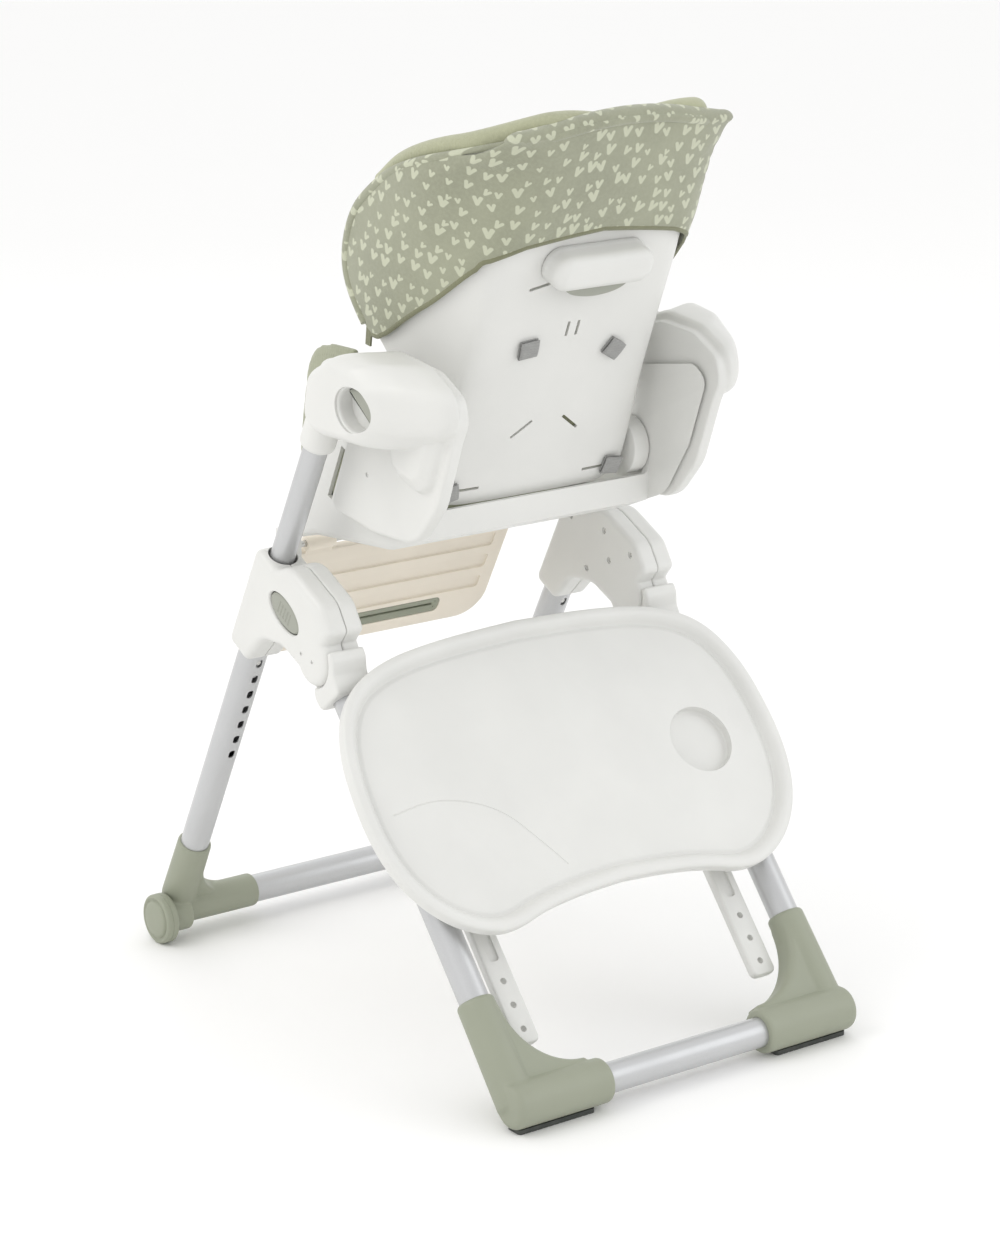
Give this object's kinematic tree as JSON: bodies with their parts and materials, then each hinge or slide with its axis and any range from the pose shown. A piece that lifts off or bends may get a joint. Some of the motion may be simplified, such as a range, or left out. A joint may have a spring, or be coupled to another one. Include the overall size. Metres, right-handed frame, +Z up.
{
  "type": "baby high chair",
  "caption": "Folding baby high chair with A-frame tube legs, height-adjustable reclining seat, leg rest, fabric hood and a tray stowed on the rear legs.",
  "frame": {"origin": "on the floor, under the middle of the open chair's bounding box", "axes": "+Z up, the child faces -Y, +X is the child's left"},
  "size_m": [0.6044, 0.7902, 1.1167],
  "materials": {
    "white_plastic": "satin moulded",
    "cream_plastic": "satin moulded",
    "sage_plastic": "fine textured",
    "button_plastic": "satin",
    "grey_tube": "satin silver paint",
    "steel": "plated",
    "dark_rubber": "matt",
    "sage_fabric": "woven",
    "webbing": "ribbed webbing"
  },
  "bodies": {
    "front_frame": {"front_crossbar": "grey_tube", "front_leg_tube_left": "grey_tube", "front_leg_tube_right": "grey_tube", "telescope_bush_left": "white_plastic", "telescope_bush_right": "white_plastic", "front_foot_left": "sage_plastic", "front_foot_right": "sage_plastic", "wheel_axle_left": "steel", "wheel_axle_right": "steel", "leg_joint_outer_cover_left": "white_plastic", "leg_joint_outer_cover_right": "white_plastic", "leg_joint_inner_cover_left": "white_plastic", "leg_joint_inner_cover_right": "white_plastic", "fold_pivot_pin_left": "steel", "fold_pivot_pin_right": "steel"},
    "wheel_left": {"wheel_left": "sage_plastic"},
    "wheel_right": {"wheel_right": "sage_plastic"},
    "fold_button_left": {"fold_button_left": "button_plastic"},
    "fold_button_right": {"fold_button_right": "button_plastic"},
    "rear_frame": {"rear_crossbar": "grey_tube", "rear_leg_tube_left": "grey_tube", "rear_leg_tube_right": "grey_tube", "rear_foot_left": "sage_plastic", "rear_foot_right": "sage_plastic", "rear_foot_pad_left": "dark_rubber", "rear_foot_pad_right": "dark_rubber", "rear_knuckle_left": "white_plastic", "rear_knuckle_right": "white_plastic", "tray_peg_left": "white_plastic", "tray_peg_right": "white_plastic"},
    "tray": {"tray_shell": "white_plastic", "tray_underplate": "white_plastic", "tray_arm_left": "white_plastic", "tray_arm_right": "white_plastic"},
    "tray_release": {"tray_release_lever": "button_plastic"},
    "seat": {"seat_shell": "white_plastic", "seat_pad": "sage_fabric", "leg_rest_rod": "steel", "armrest_housing_left": "white_plastic", "armrest_housing_right": "white_plastic", "upper_tube_left": "grey_tube", "upper_tube_right": "grey_tube", "height_latch_pin_left": "steel", "height_latch_pin_right": "steel", "recline_pin_left": "steel", "recline_pin_right": "steel"},
    "height_button_left": {"height_button_left": "button_plastic"},
    "height_button_right": {"height_button_right": "button_plastic"},
    "backrest": {"back_shell": "white_plastic", "hood": "sage_fabric", "back_pad": "sage_fabric", "back_handle": "white_plastic", "harness_buckle": "button_plastic", "shoulder_strap_left": "webbing", "shoulder_strap_right": "webbing"},
    "recline_lever": {"recline_lever": "button_plastic"},
    "leg_rest": {"leg_rest_panel": "cream_plastic", "leg_rest_pad": "sage_fabric"}
  },
  "joints": [
    {"name": "wheel_left_spin", "type": "hinge", "parent": "front_frame", "child": "wheel_left", "pos_m": [0.2635, -0.36, 0.032], "axis": [1, 0, 0], "continuous": true},
    {"name": "fold_button_left_press", "type": "slide", "parent": "front_frame", "child": "fold_button_left", "axis": [-1, 0, 0], "range_m": [0, 0.003], "stiffness_N_per_m": 600, "springref_m": -0.003},
    {"name": "height_button_left_press", "type": "slide", "parent": "seat", "child": "height_button_left", "axis": [-1, 0, 0], "range_m": [0, 0.003], "stiffness_N_per_m": 600, "springref_m": -0.003},
    {"name": "wheel_right_spin", "type": "hinge", "parent": "front_frame", "child": "wheel_right", "pos_m": [-0.2635, -0.36, 0.032], "axis": [1, 0, 0], "continuous": true},
    {"name": "fold_button_right_press", "type": "slide", "parent": "front_frame", "child": "fold_button_right", "axis": [1, 0, 0], "range_m": [0, 0.003], "stiffness_N_per_m": 600, "springref_m": -0.003},
    {"name": "height_button_right_press", "type": "slide", "parent": "seat", "child": "height_button_right", "axis": [1, 0, 0], "range_m": [0, 0.003], "stiffness_N_per_m": 600, "springref_m": -0.003},
    {"name": "leg_fold", "type": "hinge", "parent": "front_frame", "child": "rear_frame", "pos_m": [0, -0.00949, 0.462], "axis": [-1, 0, 0], "range_deg": [0, 67]},
    {"name": "seat_height", "type": "slide", "parent": "front_frame", "child": "seat", "axis": [0, 0.4591, 0.8884], "range_m": [-0.15, 0]},
    {"name": "backrest_recline", "type": "hinge", "parent": "seat", "child": "backrest", "pos_m": [0, 0.046, 0.672], "axis": [-1, 0, 0], "range_deg": [0, 30]},
    {"name": "recline_lever_squeeze", "type": "slide", "parent": "backrest", "child": "recline_lever", "axis": [0, 0.3793, 0.9253], "range_m": [0, 0.005], "stiffness_N_per_m": 500, "springref_m": -0.004},
    {"name": "leg_rest_tilt", "type": "hinge", "parent": "seat", "child": "leg_rest", "pos_m": [0, -0.197, 0.543], "axis": [-1, 0, 0], "range_deg": [0, 60]},
    {"name": "tray_lift_off", "type": "slide", "parent": "rear_frame", "child": "tray", "axis": [0, 0.7604, 0.6494], "range_m": [0, 0.12]},
    {"name": "tray_release_squeeze", "type": "slide", "parent": "tray", "child": "tray_release", "axis": [0, 0.6494, -0.7604], "range_m": [0, 0.006], "stiffness_N_per_m": 400, "springref_m": -0.004}
  ]
}
